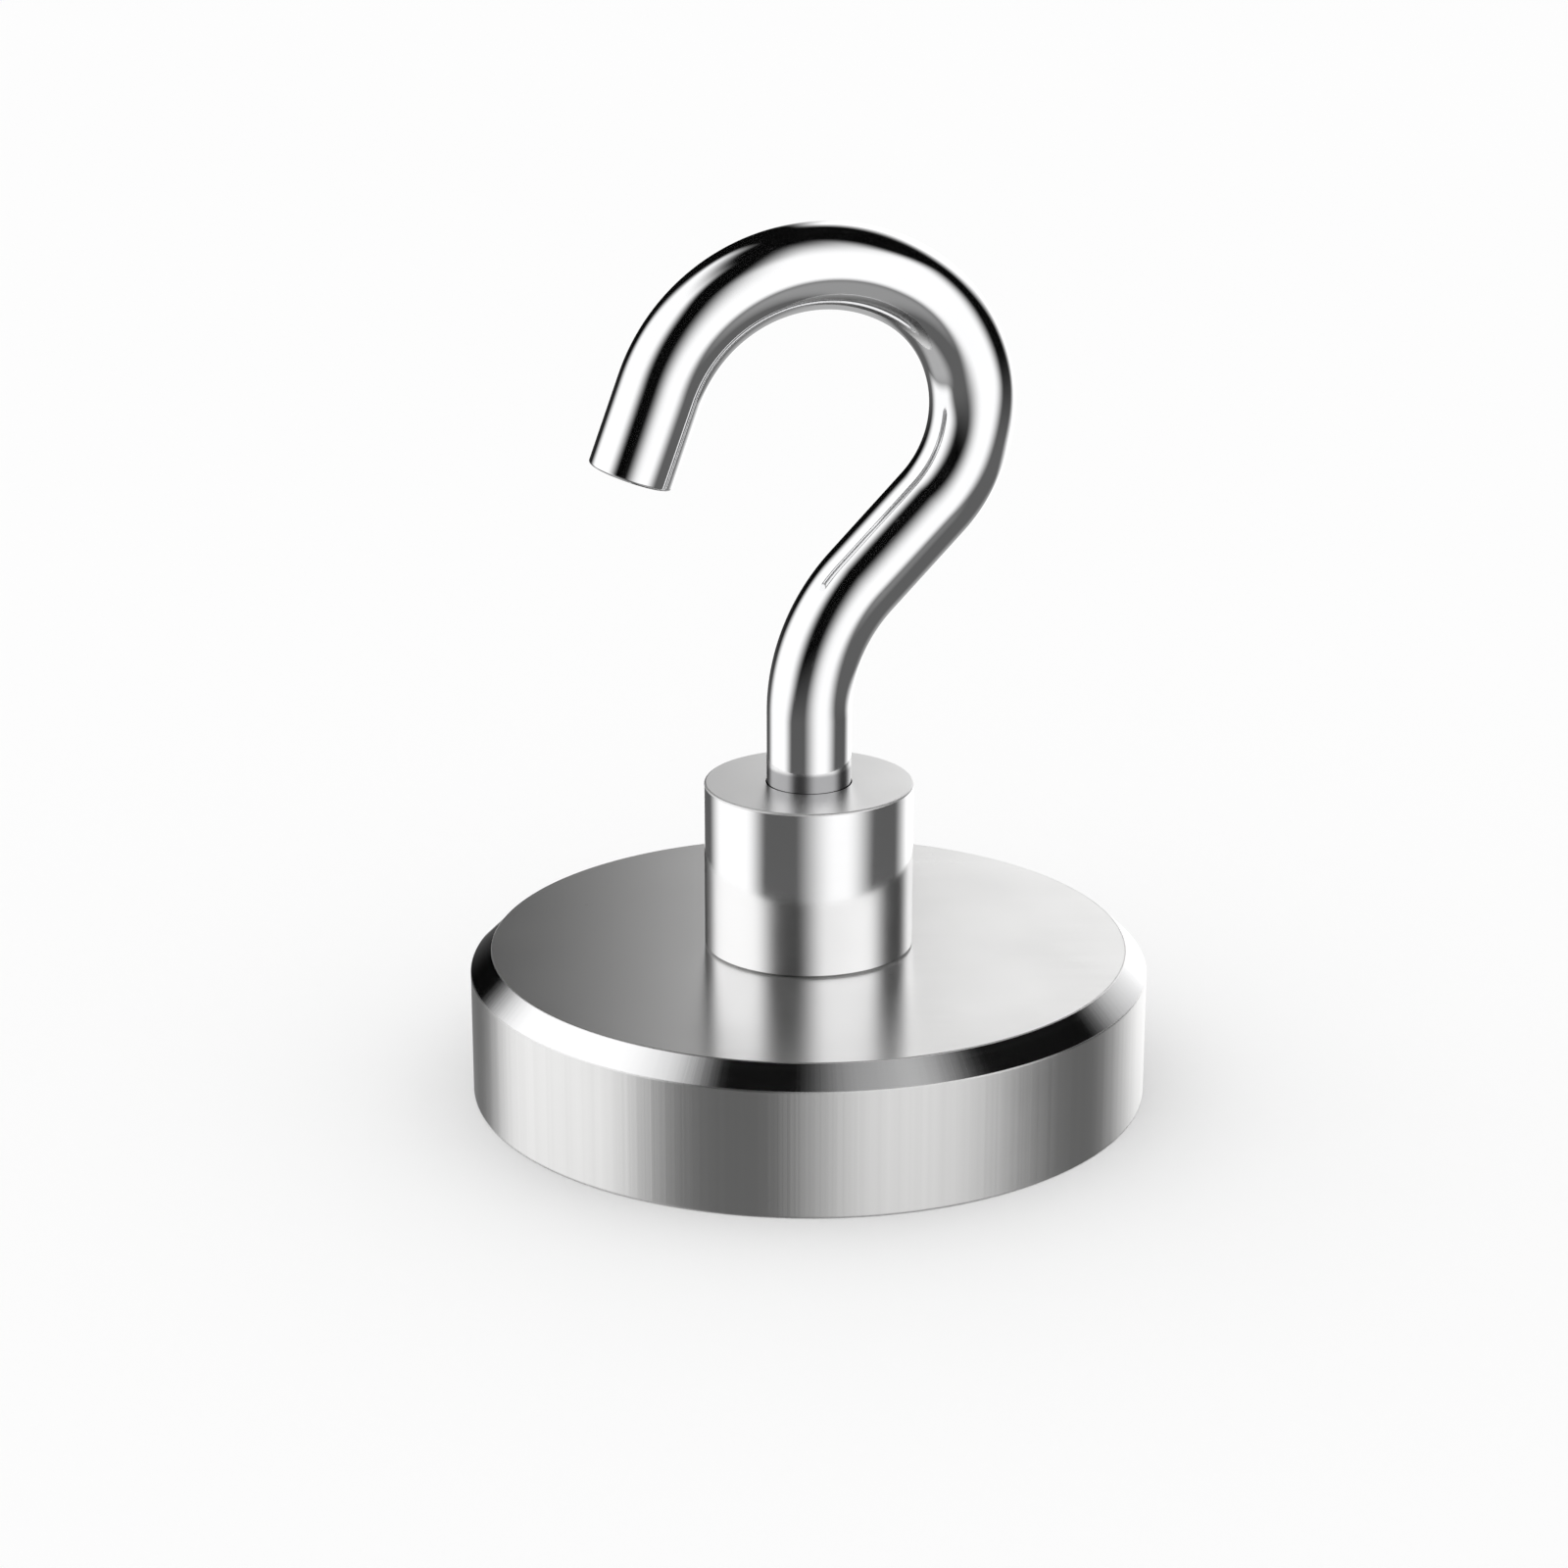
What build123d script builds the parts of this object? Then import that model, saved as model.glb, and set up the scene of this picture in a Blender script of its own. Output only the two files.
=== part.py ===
from build123d import *
import os
from math import radians, tan

# Magnetic hook: a bent wire hook with a threaded shank, screwed into a turned boss that is
# riveted through the floor of a round pot magnet.
# Millimetres, +Z up. The origin is the middle of the face that clings to the steel, on the
# plane of the cup's rim, and the hook is bent in the XZ plane with its mouth towards -X.

# Steel cup of the pot magnet, open side down
cup_diameter = 32.0
cup_height = 7.0
cup_wall = 2.6
cup_floor = 2.6
cup_bevel = 1.0
cup_edge_round = 0.12
cup_mouth_bevel = 0.2

# Magnet, and what centres it and holds it in the cup
spacer_width = 0.9
spacer_recess = 0.35
magnet_recess = 0.2
magnet_edge_round = 0.3
glue_thickness = 0.15
glue_margin = 0.8
seat_gap = 0.02

# Boss with its riveted spigot
boss_diameter = 9.8
boss_height = 8.0
boss_top_round = 0.1
boss_foot_bevel = 0.12
spigot_diameter = 6.0
spigot_flare = 1.0
hole_web = 2.0
drill_tip_angle = 118.0

# Thread between hook and boss: an M4 coarse form, drawn as closed rings with no lead
thread_pitch = 0.7
thread_play = 0.05
thread_flank_angle = 30.0
thread_depth_share = 0.5413
thread_crest_share = 0.125
thread_entry = 0.5
spare_turns = 1
pilot_length = 0.5
pilot_bevel = 0.2
shank_end_gap = 1.0

# Hook, bent from one rod: its runs and bends in order from the boss to the tip
rod_diameter = 3.95
leg_height = 3.4
foot_bend_radius = 8.8
foot_bend_angle = 44.0
neck_length = 4.9
crown_bend_radius = 6.5
crown_bend_angle = 104.0
fall_bend_radius = 7.9
fall_bend_angle = 100.0
tip_length = 4.2
tip_edge_round = 0.15

# Sizes and heights that follow
cup_radius = cup_diameter / 2
pocket_radius = cup_radius - cup_wall
pocket_depth = cup_height - cup_floor
magnet_radius = pocket_radius - spacer_width
magnet_top = pocket_depth - glue_thickness
boss_radius = boss_diameter / 2
boss_top = cup_height + boss_height
spigot_radius = spigot_diameter / 2
rod_radius = rod_diameter / 2
root_radius = rod_radius - thread_depth_share * thread_pitch
flank_run = (rod_radius - root_radius) * tan(radians(thread_flank_angle))
root_flat = thread_pitch * (1 - thread_crest_share) - 2 * flank_run
drill_radius = root_radius + thread_play
drill_tip_height = drill_radius / tan(radians(drill_tip_angle / 2))
hole_bottom = pocket_depth + hole_web + drill_tip_height
thread_top = boss_top - thread_entry
shank_room = thread_top - pilot_length - hole_bottom - shank_end_gap
shank_turns = int(shank_room / thread_pitch)


def thread_outline(turns, play):
    """Outline points (radius, height) of a thread, downwards: each turn has a root, then a crest."""
    points = []
    for turn in range(turns):
        start = thread_top - turn * thread_pitch
        points += [
            (rod_radius + play, start),
            (root_radius + play, start - flank_run),
            (root_radius + play, start - flank_run - root_flat),
            (rod_radius + play, start - 2 * flank_run - root_flat),
        ]
    end = thread_top - turns * thread_pitch
    return points + [(rod_radius + play, end), (root_radius + play, end - flank_run)]


def spigot_outline(play):
    """Outline points (radius, height) of the spigot, which flares at the floor's inner face."""
    return [
        (0, pocket_depth),
        (spigot_radius + spigot_flare + play, pocket_depth),
        (spigot_radius + play, pocket_depth + spigot_flare),
        (spigot_radius + play, cup_height),
    ]


# The cup is turned from bar: a bevelled disc with a pocket from below and a countersunk hole
with BuildPart() as magnet_cup:
    with BuildSketch(Plane.XY):
        Circle(cup_radius)
    extrude(amount=cup_height)
    chamfer(magnet_cup.faces().sort_by(Axis.Z)[-1].edges(), cup_bevel)
    fillet(magnet_cup.edges().filter_by(GeomType.CIRCLE), cup_edge_round)
    with BuildSketch(Plane.XY):
        Circle(pocket_radius)
    extrude(amount=pocket_depth, mode=Mode.SUBTRACT)
    mouth = magnet_cup.edges().filter_by(GeomType.CIRCLE).group_by(Axis.Z)[0].sort_by(SortBy.RADIUS)
    chamfer(mouth[0], cup_mouth_bevel)
    with BuildSketch(Plane.XZ):
        with BuildLine():
            Polyline(*spigot_outline(seat_gap), (0, cup_height), close=True)
        make_face()
    revolve(axis=Axis.Z, mode=Mode.SUBTRACT)
magnet_cup.part.label = "magnet_cup"

# The ring that centres the magnet stands on the pocket's floor, just short of the rim
with BuildPart() as spacer_ring:
    with BuildSketch(Plane.XY.offset(spacer_recess)):
        Circle(pocket_radius - seat_gap)
        Circle(magnet_radius + seat_gap, mode=Mode.SUBTRACT)
    extrude(amount=pocket_depth - spacer_recess)
spacer_ring.part.label = "spacer_ring"

# The magnet is a plain disc, a little behind the rim so that the rim takes the knocks
with BuildPart() as magnet_disc:
    with BuildSketch(Plane.XY.offset(magnet_recess)):
        Circle(magnet_radius)
    extrude(amount=magnet_top - magnet_recess)
    fillet(magnet_disc.edges().filter_by(GeomType.CIRCLE), magnet_edge_round)
magnet_disc.part.label = "magnet_disc"

# The glue is a thin film between the magnet's back, the floor and the riveted spigot's end
with BuildPart() as glue_film:
    with BuildSketch(Plane.XY.offset(magnet_top)):
        Circle(magnet_radius - glue_margin)
    extrude(amount=glue_thickness)
glue_film.part.label = "glue_film"

# The boss is turned with its spigot, then drilled and tapped from its top
with BuildPart() as threaded_boss:
    with BuildSketch(Plane.XZ):
        with BuildLine():
            Polyline(
                *spigot_outline(0),
                (boss_radius - boss_foot_bevel, cup_height),
                (boss_radius, cup_height + boss_foot_bevel),
                (boss_radius, boss_top),
                (0, boss_top),
                close=True,
            )
        make_face()
    revolve(axis=Axis.Z)
    fillet(threaded_boss.faces().sort_by(Axis.Z)[-1].edges(), boss_top_round)
    with BuildSketch(Plane.XZ):
        with BuildLine():
            Polyline(
                (0, boss_top),
                (rod_radius + thread_play, boss_top),
                *thread_outline(shank_turns + spare_turns, thread_play),
                (drill_radius, hole_bottom),
                (0, hole_bottom - drill_tip_height),
                close=True,
            )
        make_face()
    revolve(axis=Axis.Z, mode=Mode.SUBTRACT)
threaded_boss.part.label = "threaded_boss"

# The hook is one rod: a threaded shank with a pilot, then straight runs and tangent bends
with BuildPart() as hook:
    with BuildLine(Plane.XZ) as bent_rod:
        leg = Line((0, thread_top), (0, boss_top + leg_height))
        foot_bend = JernArc(leg @ 1, leg % 1, foot_bend_radius, -foot_bend_angle)
        neck = Line(foot_bend @ 1, foot_bend @ 1 + (foot_bend % 1) * neck_length)
        crown_bend = JernArc(neck @ 1, neck % 1, crown_bend_radius, crown_bend_angle)
        fall_bend = JernArc(crown_bend @ 1, crown_bend % 1, fall_bend_radius, fall_bend_angle)
        tip = Line(fall_bend @ 1, fall_bend @ 1 + (fall_bend % 1) * tip_length)
    with BuildSketch(Plane.XY.offset(thread_top)):
        Circle(rod_radius)
    sweep(path=bent_rod.wire())
    tip_face = hook.faces().sort_by_distance(tip @ 1)[0]
    fillet(tip_face.edges(), tip_edge_round)
    shank_end = thread_top - shank_turns * thread_pitch - pilot_length
    with BuildSketch(Plane.XZ):
        with BuildLine():
            Polyline(
                (0, thread_top),
                *thread_outline(shank_turns, 0),
                (root_radius, shank_end + pilot_bevel),
                (root_radius - pilot_bevel, shank_end),
                (0, shank_end),
                close=True,
            )
        make_face()
    revolve(axis=Axis.Z)
hook.part.label = "hook"

os.makedirs("parts", exist_ok=True)
for piece in (magnet_cup, spacer_ring, magnet_disc, glue_film, threaded_boss, hook):
    export_step(piece.part, f"parts/{piece.part.label}.step")
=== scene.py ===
from math import cos, pi, radians, sin, tan

import bpy
import numpy as np
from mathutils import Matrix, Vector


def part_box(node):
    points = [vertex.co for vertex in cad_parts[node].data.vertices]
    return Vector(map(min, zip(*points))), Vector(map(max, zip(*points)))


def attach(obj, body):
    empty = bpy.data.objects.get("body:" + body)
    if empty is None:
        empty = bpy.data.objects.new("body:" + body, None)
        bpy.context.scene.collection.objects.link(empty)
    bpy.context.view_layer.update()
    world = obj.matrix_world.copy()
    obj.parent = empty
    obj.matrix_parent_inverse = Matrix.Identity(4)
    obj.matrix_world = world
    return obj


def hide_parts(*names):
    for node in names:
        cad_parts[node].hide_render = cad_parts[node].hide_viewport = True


# The looks of a magnetic hook: a mirror-polished rod screwed into a turned boss, which stands on
# a satin nickel-plated pot magnet. Metres, +Z up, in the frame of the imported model.

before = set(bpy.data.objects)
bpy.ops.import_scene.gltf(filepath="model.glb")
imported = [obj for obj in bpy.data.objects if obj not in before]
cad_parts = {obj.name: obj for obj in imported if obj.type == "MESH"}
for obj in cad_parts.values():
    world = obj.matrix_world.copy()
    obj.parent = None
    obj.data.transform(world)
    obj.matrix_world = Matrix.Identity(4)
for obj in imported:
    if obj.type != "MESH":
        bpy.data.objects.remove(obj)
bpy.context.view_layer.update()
mm = 0.001

# Overall sizes, from the frame: a node's box is its lowest and its highest corner
cup_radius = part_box("magnet_cup")[1][0]
cup_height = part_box("magnet_cup")[1][2]
boss_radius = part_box("threaded_boss")[1][0]
boss_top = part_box("threaded_boss")[1][2]
magnet_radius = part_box("magnet_disc")[1][0]
magnet_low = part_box("magnet_disc")[0][2]
magnet_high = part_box("magnet_disc")[1][2]
ring_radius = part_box("spacer_ring")[1][0]
ring_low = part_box("spacer_ring")[0][2]
ring_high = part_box("spacer_ring")[1][2]
shank_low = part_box("hook")[0][2]

# Cup, spacer and magnet
cup_wall = 2.6 * mm
cup_floor = 2.6 * mm
cup_bevel = 1.0 * mm
cup_bevel_lean = radians(45)
cup_edge_round = 0.12 * mm
cup_mouth_bevel = 0.2 * mm
magnet_edge_round = 0.3 * mm
seat_gap = 0.02 * mm

# Boss and its riveted spigot
boss_top_round = 0.1 * mm
boss_foot_bevel = 0.12 * mm
spigot_radius = 3.0 * mm
spigot_flare = 1.0 * mm
hole_bottom = 7.39 * mm
drill_tip_angle = radians(118)

# Thread of closed rings, the same in the boss and on the shank
thread_pitch = 0.7 * mm
thread_play = 0.05 * mm
thread_flank_angle = radians(30)
thread_depth_share = 0.5413
thread_crest_share = 0.125
thread_entry = 0.5 * mm
shank_turns = 8
spare_turns = 1
pilot_bevel = 0.2 * mm

# Bent rod: runs and bends from the boss to the tip, with bends towards +X positive
rod_radius = 1.975 * mm
leg_height = 3.4 * mm
foot_bend_radius = 8.8 * mm
foot_bend_angle = radians(44)
neck_length = 4.9 * mm
crown_bend_radius = 6.5 * mm
crown_bend_angle = radians(-104)
fall_bend_radius = 7.9 * mm
fall_bend_angle = radians(-100)
tip_length = 4.2 * mm
tip_edge_round = 0.15 * mm

# Sizes that follow
pocket_radius = cup_radius - cup_wall
pocket_depth = cup_height - cup_floor
root_radius = rod_radius - thread_depth_share * thread_pitch
flank_run = (rod_radius - root_radius) * tan(thread_flank_angle)
root_flat = thread_pitch * (1 - thread_crest_share) - 2 * flank_run
drill_radius = root_radius + thread_play
drill_tip_height = drill_radius / tan(drill_tip_angle / 2)
thread_top = boss_top - thread_entry

# How finely the surfaces are divided
turned_sides = 288
rod_sides = 112
bend_step = radians(1.5)
straight_steps = 4

# Finish of the faces of turned pieces: 0 is polished, 1 is satin, and a worn edge is duller still
worn_edge = 1.2

# In the finishes below, a size gives the lumps of a noise along three axes, a roughness of two
# numbers goes from the low places of its noise to the high ones, and a relief is a depth. A
# noise hardly leaves its middle.
noise_middle = (0.3, 0.7)

# Chrome of the rod. Its foot is painted darker up to these heights above the boss, a painted reflection
# of the boss's top.
chrome = (0.93, 0.93, 0.935)
hazed_chrome = (0.905, 0.907, 0.915)
foot_reflection_chrome = (0.45, 0.45, 0.46)
painted_reflection_heights = (0.75 * mm, 1.0 * mm)
drawn_line_size = (0.12 * mm, 0.12 * mm, 9 * mm)
drawn_line_roughness = (0.0, 0.025)
haze_size = (2.5 * mm, 2.5 * mm, 6 * mm)
haze_roughness = (0.04, 0.06)
nick_size = (0.05 * mm, 0.05 * mm, 0.9 * mm)
nick_limits = (0.72, 0.8)
nick_roughness = 0.12
rod_relief = 0.00015 * mm

# Nickel of the boss and the cup
bright_nickel = (0.935, 0.935, 0.94)
turning_mark_size = (0.12 * mm, 1 * mm, 0.12 * mm)
mark_roughness = (-0.01, 0.015)
cloud_roughness = (-0.012, 0.015)
cloud_dullness = 0.12
nickel_relief = 0.0002 * mm

# Boss: its polished side, its satin top, and a painted shade line in the corner at its foot, by shares
# of the foot's bevel
faced_nickel = (0.88, 0.878, 0.875)
foot_painted_shade = (0.42, 0.42, 0.42)
foot_shade_shares = (0.8, 1.2)
boss_cloud_size = (3 * mm, 3 * mm, 2 * mm)
boss_polish = 0.1
boss_satin_step = 0.26

# Cup: its polished bevel, its satin top and its satin side. A face counts as top or side by how
# far up its normal points. The lines brushed on the top run square to the brush's heading,
# which is from +Y towards +X. The lumps of chatter are shares of the radius, and its waves are
# so many times as deep as the nickel's relief.
brushed_nickel = (0.94, 0.937, 0.931)
chattered_nickel = (0.885, 0.882, 0.876)
cup_cloud_size = (6 * mm, 6 * mm, 4 * mm)
cup_polish = 0.07
cup_satin_step = 0.225
top_limits = (0.9, 0.95)
side_limits = (0.3, 0.1)
brush_heading = radians(14.6)
brush_stretch = 0.8
brushed_line_size = (9 * mm, 0.12 * mm, 1 * mm)
side_mark_size = (1 * mm, 1 * mm, 0.12 * mm)
frost_size = (0.2 * mm, 0.2 * mm, 0.2 * mm)
frost_roughness = (-0.006, 0.006)
chatter_shares = (0.025, 0.025, 1)
side_waves = 36.0
bevel_waves = 10.0

# Magnet
magnet_nickel = (0.70, 0.69, 0.67)
mottled_nickel = (0.60, 0.585, 0.56)
mottle_size = (2.2 * mm, 2.2 * mm, 2.2 * mm)
mottle_roughness = (0.34, 0.46)
pit_size = (0.18 * mm, 0.18 * mm, 0.18 * mm)
pit_roughness = (-0.04, 0.06)
grinding_share = 0.5
magnet_relief = 0.002 * mm

# Spacer
black_plastic = (0.03, 0.03, 0.033)
grey_plastic = (0.055, 0.055, 0.058)
flow_size = (3 * mm, 3 * mm, 3 * mm)
flow_roughness = (0.48, 0.58)
skin_size = (0.1 * mm, 0.1 * mm, 0.1 * mm)
skin_roughness = (-0.05, 0.05)
spacer_relief = 0.01 * mm

# Glue
pale_glue = (0.60, 0.52, 0.36)
brown_glue = (0.50, 0.40, 0.24)
glue_cloud_size = (2 * mm, 2 * mm, 2 * mm)
glue_roughness = (0.25, 0.4)
bubble_size = 0.4 * mm
bubble_limits = (0, 0.3)
bubble_roughness = 0.1
glue_relief = 0.02 * mm

# Camera, with its lens and sensor in millimetres
camera_place = (-42.56 * mm, -158.84 * mm, 69.19 * mm)
camera_heading = radians(14.595)
camera_pitch = radians(18.287)
camera_lens = 85
camera_near = 10 * mm
sensor_width = 36

# Floor
floor_size = 6.0
floor_white = (0.985, 0.985, 0.985)
floor_shade = (0.98, 0.98, 0.98)
floor_cloud_size = (0.2, 0.2, 0.2)

# Studio: soft white panels in a dark room, by azimuth right of the camera's heading and by
# elevation, in degrees. Each edge is a pair: where the panel starts to show and where it is full.
# Its sides bend a little on the way up: a pair each near the floor, at eye level, above it and
# near the ceiling, and the spans say between which elevations one pair turns into the next.
# The room is nearly black, and a little less so towards its floor. Low down, a dimmer glow
# under each panel stands for its light on the floor, which polished metal doesn't see.
half_turn = 180
room_light = 1.0
bend_spans = ((-22, -4), (6, 24), (34, 54))
room_shade_span = (5, -24)
room_shades = (0.001, 0.12)
studio_panels = {
    "left": dict(
        light=1.1, low=(-36, -23), high=(72, 47),
        left=((-137, -104), (-146, -114), (-145, -115), (-137, -110)),
        right=((-33, -68), (-40, -68), (-36, -62), (-28, -50)),
    ),
    "front_right": dict(
        light=1.1, low=(-34, -19), high=(83, 34),
        left=((96, 142), (82, 116), (80, 112), (98, 130)),
        right=((206, 148), (196, 158), (196, 158), (190, 150)),
    ),
    "back": dict(
        light=1.3, low=(-30, -18), high=(52, 26),
        left=((-17, -6), (-5.5, 4.5), (-5.5, 4.5), (-4, 11)),
        right=((80, 34), (58, 24), (64, 32), (50, 14)),
    ),
    "left_glow": dict(
        light=0.45, low=(-95, -85), high=(-15, -38),
        left=((-160, -110),) * 4, right=((-35, -80),) * 4,
    ),
    "front_right_glow": dict(
        light=0.32, low=(-95, -85), high=(-15, -38),
        left=((85, 140),) * 4, right=((205, 160),) * 4,
    ),
    "back_glow": dict(
        light=0.45, low=(-95, -60), high=(-15, -24),
        left=((-35, -8),) * 4, right=((75, 10),) * 4,
    ),
}


def straight(start, end, satin=0.0, steps=1):
    """A straight stretch of profile in (radius, height): points spread evenly from start to end.
    The outside is on the left, so the normal is the run turned a quarter to the left."""
    run = np.subtract(end, start) / np.hypot(*np.subtract(end, start))
    normals = np.tile([-run[1], run[0]], (steps + 1, 1))
    return np.linspace(start, end, steps + 1), normals, np.full(steps, satin)


def rounded(centre, radius, start_angle, end_angle, satin=0.0, steps=6):
    """A round stretch of profile: points at one radius about the centre, from one angle to the
    other, with the normal along the radius."""
    angles = np.linspace(start_angle, end_angle, steps + 1)
    spokes = np.stack([np.cos(angles), np.sin(angles)], axis=1)
    return np.add(centre, spokes * radius), spokes, np.full(steps, satin)


def chain(corners, satin=0.0):
    """Straight stretches from each corner to the next."""
    return [straight(start, end, satin) for start, end in zip(corners, corners[1:])]


def upright(along):
    """The path of the turned pieces, straight up the Z axis: its points, and its lean of zero."""
    zero = np.zeros_like(along)
    return np.stack([zero, zero, along], axis=-1), zero


def bent_rod(along):
    """The path of the rod in the XZ plane. Lean is the angle from +Z towards +X. Along a run the
    point moves by (sin lean, cos lean), and along a bend it turns about the bend's centre."""
    runs = [
        (boss_top + leg_height, 0, 0),
        (foot_bend_radius * foot_bend_angle, foot_bend_radius, foot_bend_angle),
        (neck_length, 0, 0),
        (-crown_bend_radius * crown_bend_angle, crown_bend_radius, crown_bend_angle),
        (-fall_bend_radius * fall_bend_angle, fall_bend_radius, fall_bend_angle),
        (tip_length, 0, 0),
    ]
    x, z, lean = np.zeros((3, *along.shape))
    start_x = start_z = start_lean = start = 0.0
    for length, radius, angle in runs:
        here = (along >= start) & (along <= start + length)
        share = (along - start) / length
        turned = start_lean + share * angle
        if radius:
            side = np.sign(angle) * radius
            step_x = side * (np.cos(start_lean) - np.cos(turned))
            step_z = side * (np.sin(turned) - np.sin(start_lean))
            end_x = side * (np.cos(start_lean) - np.cos(start_lean + angle))
            end_z = side * (np.sin(start_lean + angle) - np.sin(start_lean))
        else:
            step_x = share * length * np.sin(start_lean)
            step_z = share * length * np.cos(start_lean)
            end_x = length * np.sin(start_lean)
            end_z = length * np.cos(start_lean)
        x = np.where(here, start_x + step_x, x)
        z = np.where(here, start_z + step_z, z)
        lean = np.where(here, turned, lean)
        start_x, start_z = start_x + end_x, start_z + end_z
        start_lean, start = start_lean + angle, start + length
    return np.stack([x, 0 * x, z], axis=-1), lean


def knit(is_pole, sides):
    """How rings of points become faces: which points of the grid are vertices of their own, the
    four corners of each face by vertex number, and which of them are kept. A ring at a pole is
    one vertex, where faces have three corners, and any other last ring is the first one again."""
    owned = np.repeat(~is_pole[:, None], sides, axis=1)
    owned[:, 0] = True
    owned[-1, :] &= is_pole[-1]
    index = (np.cumsum(owned) - 1).reshape(owned.shape)
    if not is_pole[-1]:
        index[-1] = index[0]
    beside = np.roll(index, -1, axis=1)
    corners = np.stack([index[:-1], index[1:], beside[1:], beside[:-1]], axis=-1)
    kept = np.ones(corners.shape, dtype=bool)
    kept[is_pole[:-1], :, 3] = False
    kept[is_pole[1:], :, 2] = False
    return owned, corners, kept


def carry(name, stretches, path, sides):
    """A closed surface: a profile of (radius, place along a path) carried round that path.
    The point at angle a lies at the path's point plus radius * (cos a * side + sin a * Y), where
    side is the path's sideways direction. A profile that starts and ends on the path closes in
    poles there, and any other profile ends where it starts. Each face's corners get the exact
    normal of the profile, turned with them. "unbent" keeps where a point lay on a straight path."""
    points = np.concatenate([stretches[0][0][:1]] + [stretch[0][1:] for stretch in stretches])
    start_normals = np.concatenate([stretch[1][:-1] for stretch in stretches])
    end_normals = np.concatenate([stretch[1][1:] for stretch in stretches])
    satin = np.concatenate([stretch[2] for stretch in stretches])
    radius, along = points.T[..., None]
    turn = 2 * pi * np.arange(sides) / sides

    centre, lean = path(along[:, 0])
    sideways = np.stack([np.cos(lean), 0 * lean, -np.sin(lean)], axis=-1)[:, None]
    onwards = np.stack([np.sin(lean), 0 * lean, np.cos(lean)], axis=-1)[:, None]
    around = np.cos(turn)[:, None] * sideways + np.sin(turn)[:, None] * np.array([0, 1, 0])
    places = centre[:, None] + radius[..., None] * around
    flat_along = np.broadcast_to(along, (len(points), sides))
    unbent = np.stack([radius * np.cos(turn), radius * np.sin(turn), flat_along], axis=-1)
    owned, corners, kept = knit(points[:, 0] == 0, sides)

    def turned(normals, rows):
        """Profile normals of (outwards, along the path) at each angle of those rows."""
        return normals[:, :1, None] * around[rows] + normals[:, 1:, None] * onwards[rows]

    start = turned(start_normals, slice(None, -1))
    end = turned(end_normals, slice(1, None))
    normals = np.stack([start, end, np.roll(end, -1, 1), np.roll(start, -1, 1)], axis=2)[kept]
    corner_counts = kept.sum(axis=-1).ravel()

    mesh = bpy.data.meshes.new(name)
    mesh.vertices.add(int(owned.sum()))
    mesh.vertices.foreach_set("co", places[owned].ravel())
    mesh.loops.add(int(kept.sum()))
    mesh.loops.foreach_set("vertex_index", corners[kept])
    mesh.polygons.add(len(corner_counts))
    mesh.polygons.foreach_set("loop_start", np.cumsum(corner_counts) - corner_counts)
    mesh.polygons.foreach_set("use_smooth", np.ones(len(corner_counts), dtype=bool))
    mesh.update(calc_edges=True)
    finish = mesh.attributes.new("satin", "FLOAT", "FACE")
    finish.data.foreach_set("value", np.repeat(satin, sides))
    before_bending = mesh.attributes.new("unbent", "FLOAT_VECTOR", "POINT")
    before_bending.data.foreach_set("vector", unbent[owned].ravel())
    mesh.normals_split_custom_set(normals.tolist())
    piece = bpy.data.objects.new(name, mesh)
    bpy.context.scene.collection.objects.link(piece)
    return piece


def thread_corners(turns, play):
    """Corners of a thread's profile, downwards: each ring has a root, then a crest."""
    corners = []
    for ring in range(turns):
        start = thread_top - ring * thread_pitch
        corners += [
            (rod_radius + play, start),
            (root_radius + play, start - flank_run),
            (root_radius + play, start - flank_run - root_flat),
            (rod_radius + play, start - 2 * flank_run - root_flat),
        ]
    end = thread_top - turns * thread_pitch
    return corners + [(rod_radius + play, end), (root_radius + play, end - flank_run)]


def make_cup():
    """The cup's profile runs from its rivet hole outwards, over the bevel, down and in again."""
    hole_radius = spigot_radius + seat_gap
    flare_radius = hole_radius + spigot_flare
    edge_run = cup_edge_round * tan(cup_bevel_lean / 2)
    slope = cup_edge_round * cos(cup_bevel_lean)
    top_x = cup_radius - cup_bevel - edge_run
    top_z = cup_height - cup_edge_round
    side_x = cup_radius - cup_edge_round
    side_z = cup_height - cup_bevel - edge_run
    rim = (side_x, cup_edge_round)
    return carry("cup_shell", [
        straight((hole_radius, cup_height), (top_x, cup_height), satin=1, steps=12),
        rounded((top_x, top_z), cup_edge_round, pi / 2, cup_bevel_lean, satin=worn_edge),
        straight((top_x + slope, top_z + slope), (side_x + slope, side_z + slope), steps=3),
        rounded((side_x, side_z), cup_edge_round, cup_bevel_lean, 0, satin=worn_edge),
        straight((cup_radius, side_z), (cup_radius, cup_edge_round), satin=1, steps=6),
        rounded(rim, cup_edge_round, 0, -pi / 2, satin=worn_edge),
        *chain([
            (side_x, 0),
            (pocket_radius + cup_mouth_bevel, 0),
            (pocket_radius, cup_mouth_bevel),
            (pocket_radius, pocket_depth),
            (flare_radius, pocket_depth),
            (hole_radius, pocket_depth + spigot_flare),
            (hole_radius, cup_height),
        ], satin=1),
    ], upright, turned_sides)


def make_spacer():
    """A plain ring that fills the gap between the magnet and the cup's wall."""
    inner_radius = magnet_radius + seat_gap
    return carry("spacer_band", chain([
        (inner_radius, ring_high),
        (ring_radius, ring_high),
        (ring_radius, ring_low),
        (inner_radius, ring_low),
        (inner_radius, ring_high),
    ]), upright, turned_sides)


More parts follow.
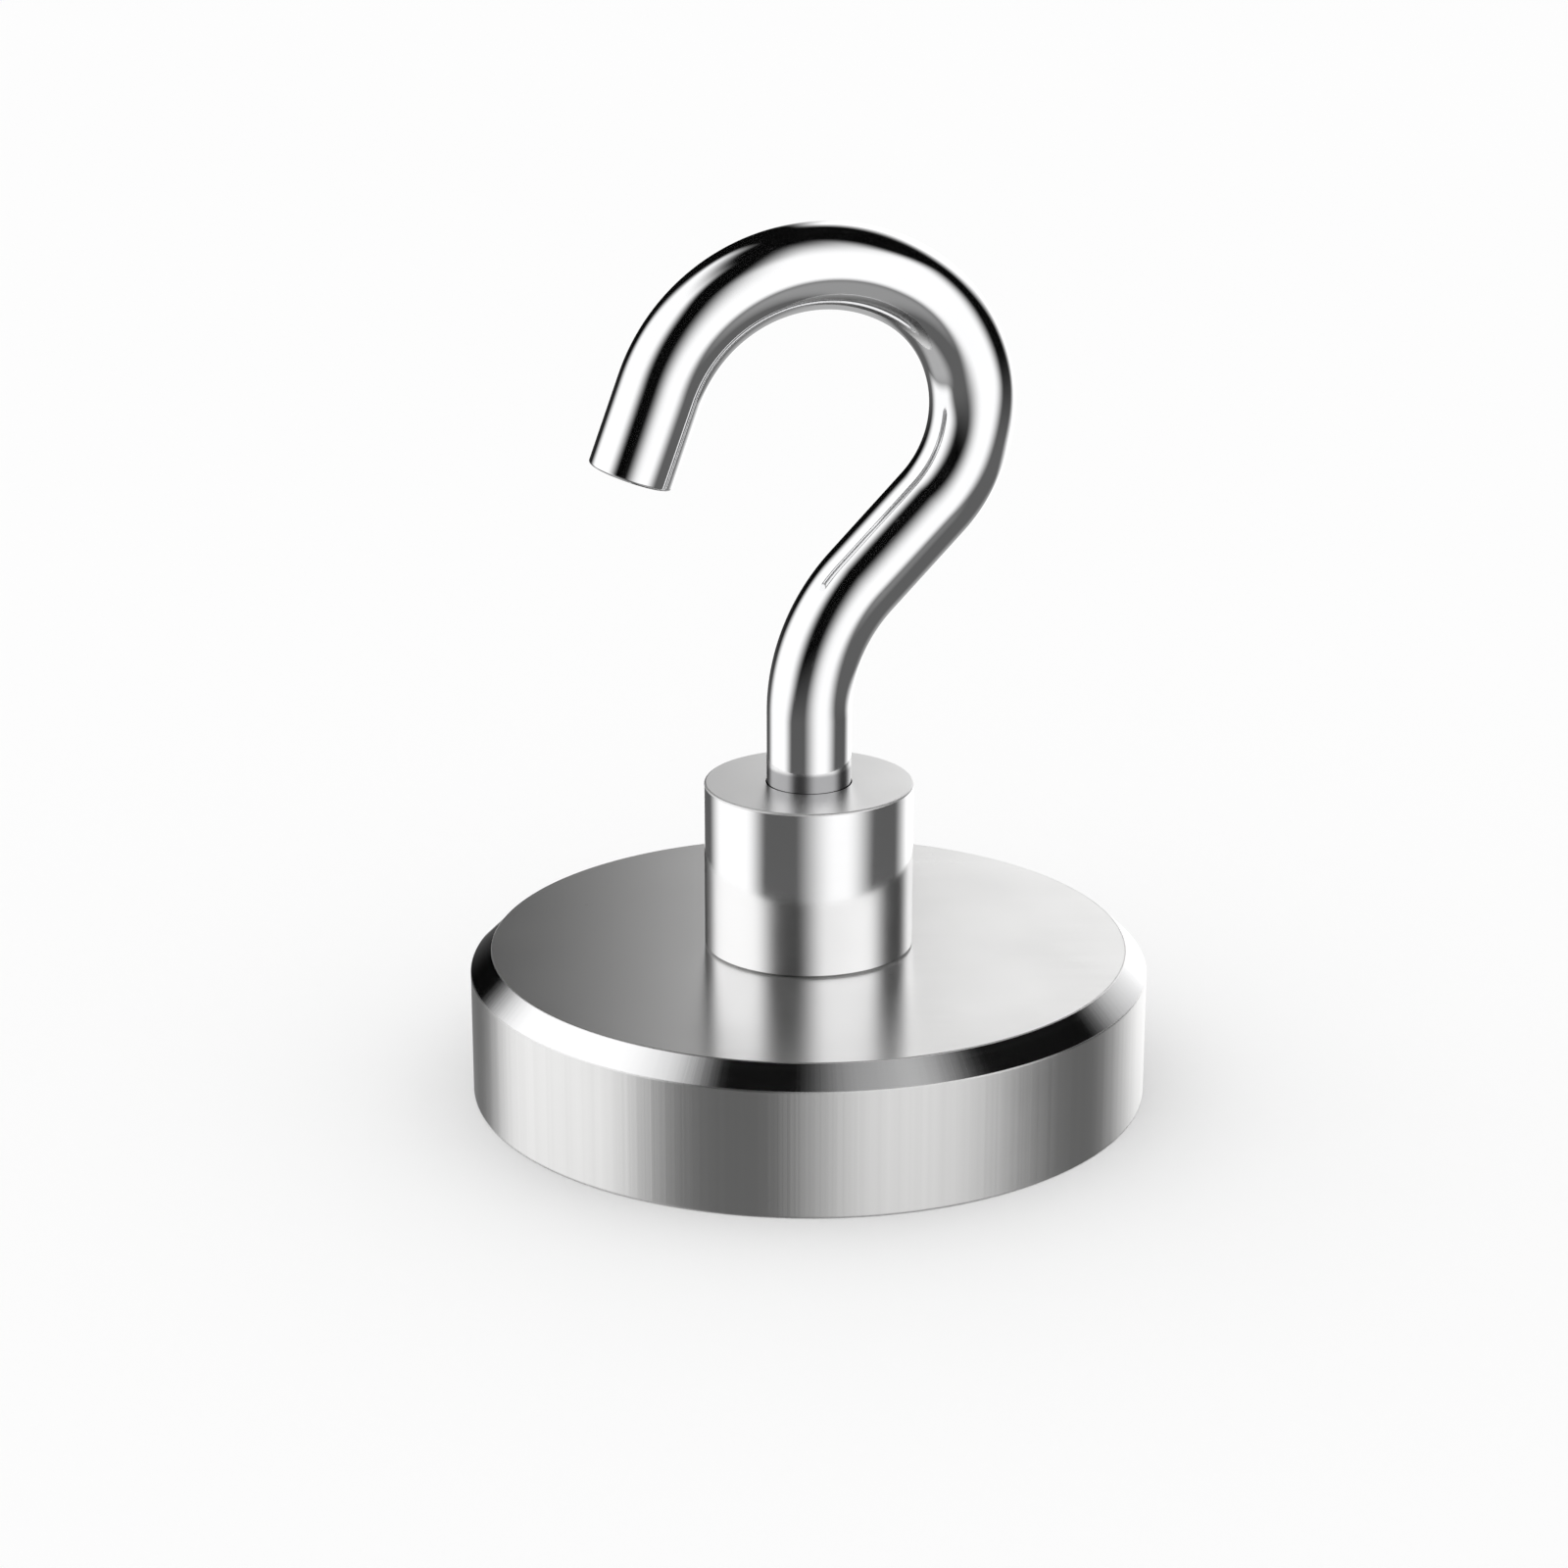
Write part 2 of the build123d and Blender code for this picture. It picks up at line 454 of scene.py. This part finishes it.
def make_magnet():
    """A disc with rounded edges, from the middle of its back to the middle of its face."""
    edge = magnet_radius - magnet_edge_round
    back = magnet_high - magnet_edge_round
    face = magnet_low + magnet_edge_round
    return carry("magnet_block", [
        straight((0, magnet_high), (edge, magnet_high), steps=8),
        rounded((edge, back), magnet_edge_round, pi / 2, 0),
        straight((magnet_radius, back), (magnet_radius, face), steps=3),
        rounded((edge, face), magnet_edge_round, 0, -pi / 2),
        straight((edge, magnet_low), (0, magnet_low), steps=8),
    ], upright, turned_sides)


def make_boss():
    """The boss's profile runs from the drilled hole's tip up its thread, over the top, down the
    side and round the flared spigot."""
    hole = [(0, hole_bottom - drill_tip_height), (drill_radius, hole_bottom)]
    hole += thread_corners(shank_turns + spare_turns, thread_play)[::-1]
    hole += [(rod_radius + thread_play, boss_top)]
    top_edge = (boss_radius - boss_top_round, boss_top - boss_top_round)
    return carry("boss_turned", [
        *chain(hole),
        straight(hole[-1], (top_edge[0], boss_top), satin=1, steps=6),
        rounded(top_edge, boss_top_round, pi / 2, 0, satin=worn_edge),
        straight((boss_radius, top_edge[1]), (boss_radius, cup_height + boss_foot_bevel), steps=8),
        *chain([
            (boss_radius, cup_height + boss_foot_bevel),
            (boss_radius - boss_foot_bevel, cup_height),
            (spigot_radius, cup_height),
            (spigot_radius, pocket_depth + spigot_flare),
            (spigot_radius + spigot_flare, pocket_depth),
            (0, pocket_depth),
        ]),
    ], upright, turned_sides)


def make_hook():
    """The rod's profile runs from the middle of its tip back along every run and bend, then down
    the thread rings and the plain pilot. Bends get rings in equal steps of angle."""
    bends = (
        (foot_bend_radius, foot_bend_angle),
        (crown_bend_radius, crown_bend_angle),
        (fall_bend_radius, fall_bend_angle),
    )
    foot, crown, fall = [(radius * abs(angle), abs(angle)) for radius, angle in bends]
    lengths = (leg_height, foot[0], neck_length, crown[0], fall[0], tip_length)
    places = boss_top + np.concatenate([[0], np.cumsum(lengths)])
    tip_place = places[-1]
    face_radius = rod_radius - tip_edge_round
    stops = [tip_place - tip_edge_round, *places[-2::-1], thread_top]
    angles = (0, fall[1], crown[1], 0, foot[1], 0, 0)
    steps = [max(straight_steps, round(angle / bend_step)) for angle in angles]
    rod = [
        straight((rod_radius, start), (rod_radius, end), steps=count)
        for start, end, count in zip(stops, stops[1:], steps)
    ]
    return carry("hook_rod", [
        straight((0, tip_place), (face_radius, tip_place), steps=straight_steps),
        rounded((face_radius, tip_place - tip_edge_round), tip_edge_round, pi / 2, 0),
        *rod,
        *chain(thread_corners(shank_turns, 0)),
        *chain([
            (root_radius, thread_top - shank_turns * thread_pitch - flank_run),
            (root_radius, shank_low + pilot_bevel),
            (root_radius - pilot_bevel, shank_low),
            (0, shank_low),
        ]),
    ], bent_rod, rod_sides)


def put(tree, kind, **sockets):
    """A new node whose sockets are given by name: another node's output is linked, and anything
    else is set. A name in small letters sets the node's own property."""
    node = tree.nodes.new(kind)
    for name, value in sockets.items():
        if name[0].islower():
            setattr(node, name, value)
        else:
            feed(tree, node.inputs[name.replace("_", " ")], value)
    return node


def feed(tree, socket, value):
    """Links an output to the socket, or sets the socket's own value."""
    if isinstance(value, bpy.types.NodeSocket):
        tree.links.new(value, socket)
    else:
        socket.default_value = value


def reckon(tree, operation, *values):
    """The result of a Math node."""
    node = tree.nodes.new("ShaderNodeMath")
    node.operation = operation
    for socket, value in zip(node.inputs, values):
        feed(tree, socket, value)
    return node.outputs[0]


def ease(tree, value, start, end, low=0.0, high=1.0):
    """A smooth step from low to high while value goes from start to end."""
    node = put(
        tree, "ShaderNodeMapRange", interpolation_type="SMOOTHSTEP",
        Value=value, From_Min=start, From_Max=end, To_Min=low, To_Max=high,
    )
    return node.outputs["Result"]


def spread(tree, value, low, high):
    """Takes the middle of a noise to low and high."""
    start, end = noise_middle
    node = put(
        tree, "ShaderNodeMapRange",
        Value=value, From_Min=start, From_Max=end, To_Min=low, To_Max=high,
    )
    return node.outputs["Result"]


def grain(tree, where, size, detail=3.0):
    """Noise whose lumps have the given size along each axis of the place where it is read."""
    scale = [1 / length for length in size]
    place = put(tree, "ShaderNodeMapping", Vector=where, Scale=scale)
    return put(tree, "ShaderNodeTexNoise", Vector=place.outputs[0], Scale=1.0, Detail=detail).outputs[0]


def blend(tree, share, first, second):
    """A colour between two, by share."""
    node = put(tree, "ShaderNodeMix", data_type="RGBA")
    feed(tree, node.inputs[0], share)
    for socket, colour in ((node.inputs[6], first), (node.inputs[7], second)):
        feed(tree, socket, (*colour, 1) if isinstance(colour, tuple) else colour)
    return node.outputs[2]


def new_material(name, metallic):
    """A material with one Principled shader, and its node tree."""
    material = bpy.data.materials.new(name)
    material.use_nodes = True
    tree = material.node_tree
    shader = tree.nodes["Principled BSDF"]
    shader.inputs["Metallic"].default_value = metallic
    return material, tree, shader


def finish_surface(tree, shader, colour, roughness, height, depth):
    """Links colour, roughness and a relief of the given depth in metres to the shader."""
    bump = put(tree, "ShaderNodeBump", Height=height, Strength=1.0, Distance=depth)
    feed(tree, shader.inputs["Base Color"], colour)
    feed(tree, shader.inputs["Roughness"], roughness)
    feed(tree, shader.inputs["Normal"], bump.outputs[0])


def attribute(tree, name, output):
    """A value kept in the piece's mesh."""
    return put(tree, "ShaderNodeAttribute", attribute_name=name).outputs[output]


def own_place(tree):
    """A point in the piece's own frame."""
    return put(tree, "ShaderNodeTexCoord").outputs["Object"]


def turned_place(tree, position):
    """(radius, 0, height) of a point, in which the marks of turning are rings."""
    axes = put(tree, "ShaderNodeSeparateXYZ", Vector=position)
    across = reckon(tree, "MULTIPLY", axes.outputs[0], axes.outputs[0])
    radius = reckon(tree, "SQRT", reckon(tree, "MULTIPLY_ADD", axes.outputs[1], axes.outputs[1], across))
    return put(tree, "ShaderNodeCombineXYZ", X=radius, Z=axes.outputs[2]).outputs[0]


def side_chatter(tree, position):
    """Noise by the direction from the axis alone, so that its lumps stand upright all round and
    are as wide as their shares of the radius."""
    axes = put(tree, "ShaderNodeSeparateXYZ", Vector=position)
    outwards = put(tree, "ShaderNodeCombineXYZ", X=axes.outputs[0], Y=axes.outputs[1])
    heading = put(tree, "ShaderNodeVectorMath", operation="NORMALIZE", Vector=outwards.outputs[0])
    return grain(tree, heading.outputs[0], chatter_shares)


def polished_rod():
    """Mirror chrome: faint drawing lines along the rod, a cloudy haze and fine nicks left by the
    buffing, and a darker ring at the foot, a painted reflection of the boss's top."""
    material, tree, shader = new_material("polished_rod", metallic=1.0)
    where = attribute(tree, "unbent", "Vector")
    lines = grain(tree, where, drawn_line_size)
    haze = grain(tree, where, haze_size, detail=5)
    nicks = grain(tree, where, nick_size, detail=1)
    colour = blend(tree, spread(tree, haze, 0, 1), chrome, hazed_chrome)
    cloud = spread(tree, haze, *haze_roughness)
    streaked = reckon(tree, "ADD", cloud, spread(tree, lines, *drawn_line_roughness))
    roughness = reckon(tree, "ADD", streaked, ease(tree, nicks, *nick_limits, 0.0, nick_roughness))
    along = put(tree, "ShaderNodeSeparateXYZ", Vector=where).outputs[2]
    # Painted reflection: the colour darkens over the rod's lowest millimetre, standing for the boss's
    # top reflected there
    above_painted_reflection = ease(tree, along, *[boss_top + height for height in painted_reflection_heights])
    colour = blend(tree, above_painted_reflection, foot_reflection_chrome, colour)
    finish_surface(tree, shader, colour, roughness, lines, rod_relief)
    return material


def plate(tree, marks, dull, polish, satin_step, cloud_size):
    """Colour and roughness of nickel over marks of turning or brushing. Where a face is satin it
    is duller and rougher, and the plating is a little cloudy everywhere."""
    clouds = grain(tree, own_place(tree), cloud_size, detail=4)
    satin = attribute(tree, "satin", "Fac")
    dullness = reckon(tree, "ADD", satin, spread(tree, clouds, 0, cloud_dullness))
    colour = blend(tree, dullness, bright_nickel, dull)
    coarse = reckon(tree, "MULTIPLY", satin, satin)
    base = reckon(tree, "MULTIPLY_ADD", coarse, satin_step, polish)
    clouded = reckon(tree, "ADD", base, spread(tree, clouds, *cloud_roughness))
    return colour, reckon(tree, "ADD", clouded, spread(tree, marks, *mark_roughness))


def bright_boss():
    """Bright nickel on the side, a dull faced top, and painted shade in the corner at its foot."""
    material, tree, shader = new_material("bright_boss", metallic=1.0)
    position = own_place(tree)
    marks = grain(tree, turned_place(tree, position), turning_mark_size, detail=4)
    colour, roughness = plate(tree, marks, faced_nickel, boss_polish, boss_satin_step, boss_cloud_size)
    height = put(tree, "ShaderNodeSeparateXYZ", Vector=position).outputs[2]
    # Painted shade: below most of the foot bevel's height the colour turns dark, a shade line in the
    # corner on the cup
    unshaded = ease(tree, height, *[cup_height + share * boss_foot_bevel for share in foot_shade_shares])
    colour = blend(tree, unshaded, foot_painted_shade, colour)
    finish_surface(tree, shader, colour, roughness, marks, nickel_relief)
    return material


def plated_cup():
    """Satin nickel with a bright cut bevel. The top is brushed one way, and the side is brushed
    round, with upright waves and dull streaks that the turning tool's chatter left there.
    Reflections in the satin faces stretch across the brushing."""
    material, tree, shader = new_material("plated_cup", metallic=1.0)
    position = own_place(tree)
    facing = put(tree, "ShaderNodeNewGeometry").outputs["True Normal"]
    upwards = put(tree, "ShaderNodeSeparateXYZ", Vector=facing).outputs[2]
    on_top = ease(tree, upwards, *top_limits)
    off_top = reckon(tree, "SUBTRACT", 1.0, on_top)
    on_side = ease(tree, reckon(tree, "ABSOLUTE", upwards), *side_limits)

    brushed_place = put(tree, "ShaderNodeMapping", Vector=position, Rotation=(0, 0, brush_heading))
    straight_marks = grain(tree, brushed_place.outputs[0], brushed_line_size, detail=4)
    round_marks = grain(tree, turned_place(tree, position), side_mark_size, detail=4)
    marks = put(tree, "ShaderNodeMix", Factor=on_top, A=round_marks, B=straight_marks).outputs[0]
    colour, roughness = plate(tree, marks, brushed_nickel, cup_polish, cup_satin_step, cup_cloud_size)
    frost = grain(tree, position, frost_size, detail=2)
    roughness = reckon(tree, "ADD", roughness, spread(tree, frost, *frost_roughness))

    chatter = side_chatter(tree, position)
    swell = reckon(tree, "MULTIPLY_ADD", on_side, side_waves - bevel_waves, bevel_waves)
    waves = reckon(tree, "MULTIPLY", chatter, reckon(tree, "MULTIPLY", off_top, swell))
    streaks = reckon(tree, "MULTIPLY", on_side, spread(tree, chatter, 0, 1))
    colour = blend(tree, streaks, colour, chattered_nickel)
    height = reckon(tree, "ADD", waves, marks)
    finish_surface(tree, shader, colour, roughness, height, nickel_relief)

    stretch = reckon(tree, "MULTIPLY", attribute(tree, "satin", "Fac"), brush_stretch)
    feed(tree, shader.inputs["Anisotropic"], stretch)
    across = put(
        tree, "ShaderNodeCombineXYZ",
        X=reckon(tree, "MULTIPLY", on_top, sin(brush_heading)),
        Y=reckon(tree, "MULTIPLY", on_top, cos(brush_heading)),
        Z=off_top,
    )
    feed(tree, shader.inputs["Tangent"], across.outputs[0])
    return material


def magnet_plating():
    """Dull nickel on a sintered block: mottled, finely pitted and faintly ground."""
    material, tree, shader = new_material("magnet_plating", metallic=1.0)
    position = own_place(tree)
    mottle = grain(tree, position, mottle_size, detail=6)
    pits = grain(tree, position, pit_size)
    grinding = grain(tree, turned_place(tree, position), turning_mark_size)
    colour = blend(tree, spread(tree, mottle, 0, 1), magnet_nickel, mottled_nickel)
    uneven = spread(tree, mottle, *mottle_roughness)
    roughness = reckon(tree, "ADD", uneven, spread(tree, pits, *pit_roughness))
    height = reckon(tree, "MULTIPLY_ADD", grinding, grinding_share, pits)
    finish_surface(tree, shader, colour, roughness, height, magnet_relief)
    return material


def moulded_spacer():
    """Matt black plastic with a fine moulded grain, greyer where the plastic flowed."""
    material, tree, shader = new_material("moulded_spacer", metallic=0.0)
    position = own_place(tree)
    skin = grain(tree, position, skin_size)
    flow = grain(tree, position, flow_size)
    colour = blend(tree, spread(tree, flow, 0, 1), black_plastic, grey_plastic)
    uneven = spread(tree, flow, *flow_roughness)
    roughness = reckon(tree, "ADD", uneven, spread(tree, skin, *skin_roughness))
    finish_surface(tree, shader, colour, roughness, skin, spacer_relief)
    return material


def cured_glue():
    """Amber adhesive, clouded and full of small bubbles."""
    material, tree, shader = new_material("cured_glue", metallic=0.0)
    position = own_place(tree)
    cloud = grain(tree, position, glue_cloud_size, detail=4)
    bubbles = put(tree, "ShaderNodeTexVoronoi", Vector=position, Scale=1 / bubble_size).outputs[0]
    colour = blend(tree, spread(tree, cloud, 0, 1), pale_glue, brown_glue)
    rough_bubbles = ease(tree, bubbles, *bubble_limits, bubble_roughness, 0)
    roughness = reckon(tree, "ADD", spread(tree, cloud, *glue_roughness), rough_bubbles)
    finish_surface(tree, shader, colour, roughness, bubbles, glue_relief)
    return material


def panel_edge(tree, bends, places, middle):
    """One of the two places of a panel's side edge, off the panel's middle: it goes from each
    place to the next while the bend between them goes from 0 to 1."""
    edge = places[0] - middle
    for bend, before, after in zip(bends, places, places[1:]):
        edge = reckon(tree, "MULTIPLY_ADD", bend, after - before, edge)
    return edge


def light_studio():
    """The world. Whatever the camera sees past the floor is white. Polished metal sees that white
    as panels, with dark room between them, and dull surfaces get even light from all round."""
    world = bpy.data.worlds.new("studio")
    world.use_nodes = True
    bpy.context.scene.world = world
    tree = world.node_tree
    ray = put(tree, "ShaderNodeLightPath")
    direction = put(tree, "ShaderNodeTexCoord").outputs["Generated"]
    axes = put(tree, "ShaderNodeSeparateXYZ", Vector=direction)
    compass = reckon(tree, "ARCTAN2", axes.outputs[0], axes.outputs[1])
    azimuth = reckon(tree, "DEGREES", reckon(tree, "SUBTRACT", compass, camera_heading))
    elevation = reckon(tree, "DEGREES", reckon(tree, "ARCSINE", axes.outputs[2]))
    bends = [ease(tree, elevation, *span) for span in bend_spans]
    seen = ease(tree, elevation, *room_shade_span, *room_shades)
    for panel in studio_panels.values():
        middle = (panel["left"][1][1] + panel["right"][1][1]) / 2
        off_middle = reckon(tree, "SUBTRACT", azimuth, middle)
        aside = reckon(tree, "WRAP", off_middle, half_turn, -half_turn)
        share = panel["light"]
        for side in ("left", "right"):
            edge = [panel_edge(tree, bends, places, middle) for places in zip(*panel[side])]
            share = reckon(tree, "MULTIPLY", ease(tree, aside, *edge), share)
        for end in ("low", "high"):
            share = reckon(tree, "MULTIPLY", share, ease(tree, elevation, *panel[end]))
        seen = reckon(tree, "MAXIMUM", seen, share)
    mirrored = reckon(tree, "MAXIMUM", ray.outputs["Is Glossy Ray"], ray.outputs["Is Transmission Ray"])
    in_metal = reckon(tree, "MULTIPLY", mirrored, seen)
    in_white = reckon(tree, "MULTIPLY", reckon(tree, "SUBTRACT", 1.0, mirrored), room_light)
    strength = reckon(tree, "ADD", in_metal, in_white)
    feed(tree, tree.nodes["Background"].inputs["Strength"], strength)
    tree.nodes["Background"].inputs["Color"].default_value = (1, 1, 1, 1)


def lay_floor():
    """A wide pale floor, a square of four corners, which polished metal doesn't see."""
    half = floor_size / 2
    corners = np.array([(-half, -half, 0), (half, -half, 0), (half, half, 0), (-half, half, 0)])
    mesh = bpy.data.meshes.new("floor")
    mesh.from_pydata(corners, [], [(0, 1, 2, 3)])
    floor = bpy.data.objects.new("floor", mesh)
    bpy.context.scene.collection.objects.link(floor)
    material, tree, shader = new_material("pale_floor", metallic=0.0)
    cloud = grain(tree, own_place(tree), floor_cloud_size)
    colour = blend(tree, spread(tree, cloud, 0, 1), floor_white, floor_shade)
    feed(tree, shader.inputs["Base Color"], colour)
    shader.inputs["Roughness"].default_value = 1.0
    shader.inputs["Specular IOR Level"].default_value = 0.0
    mesh.materials.append(material)
    floor.visible_glossy = False


def place_camera():
    """A camera at the photograph's place, turned to its heading and tipped down by its pitch."""
    data = bpy.data.cameras.new("camera")
    data.lens = camera_lens
    data.sensor_width = sensor_width
    data.clip_start = camera_near
    data.clip_end = 2 * floor_size
    camera = bpy.data.objects.new("camera", data)
    camera.location = camera_place
    camera.rotation_euler = (pi / 2 - camera_pitch, 0, -camera_heading)
    bpy.context.scene.collection.objects.link(camera)
    bpy.context.scene.camera = camera


def settle(piece, node, body, material):
    """The piece stands for its CAD node, rides on its body and takes its finish."""
    piece.data.materials.append(material)
    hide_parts(node)
    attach(piece, body)


def dress_glue():
    """The glue keeps its CAD solid, which hardly shows, and gets its own material."""
    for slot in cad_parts["glue_film"].material_slots:
        slot.material = cured_glue()


bpy.context.scene.view_settings.view_transform = "Standard"
place_camera()
light_studio()
lay_floor()
settle(make_hook(), "hook", "hook", polished_rod())
settle(make_boss(), "threaded_boss", "base", bright_boss())
settle(make_cup(), "magnet_cup", "base", plated_cup())
settle(make_magnet(), "magnet_disc", "base", magnet_plating())
settle(make_spacer(), "spacer_ring", "base", moulded_spacer())
dress_glue()
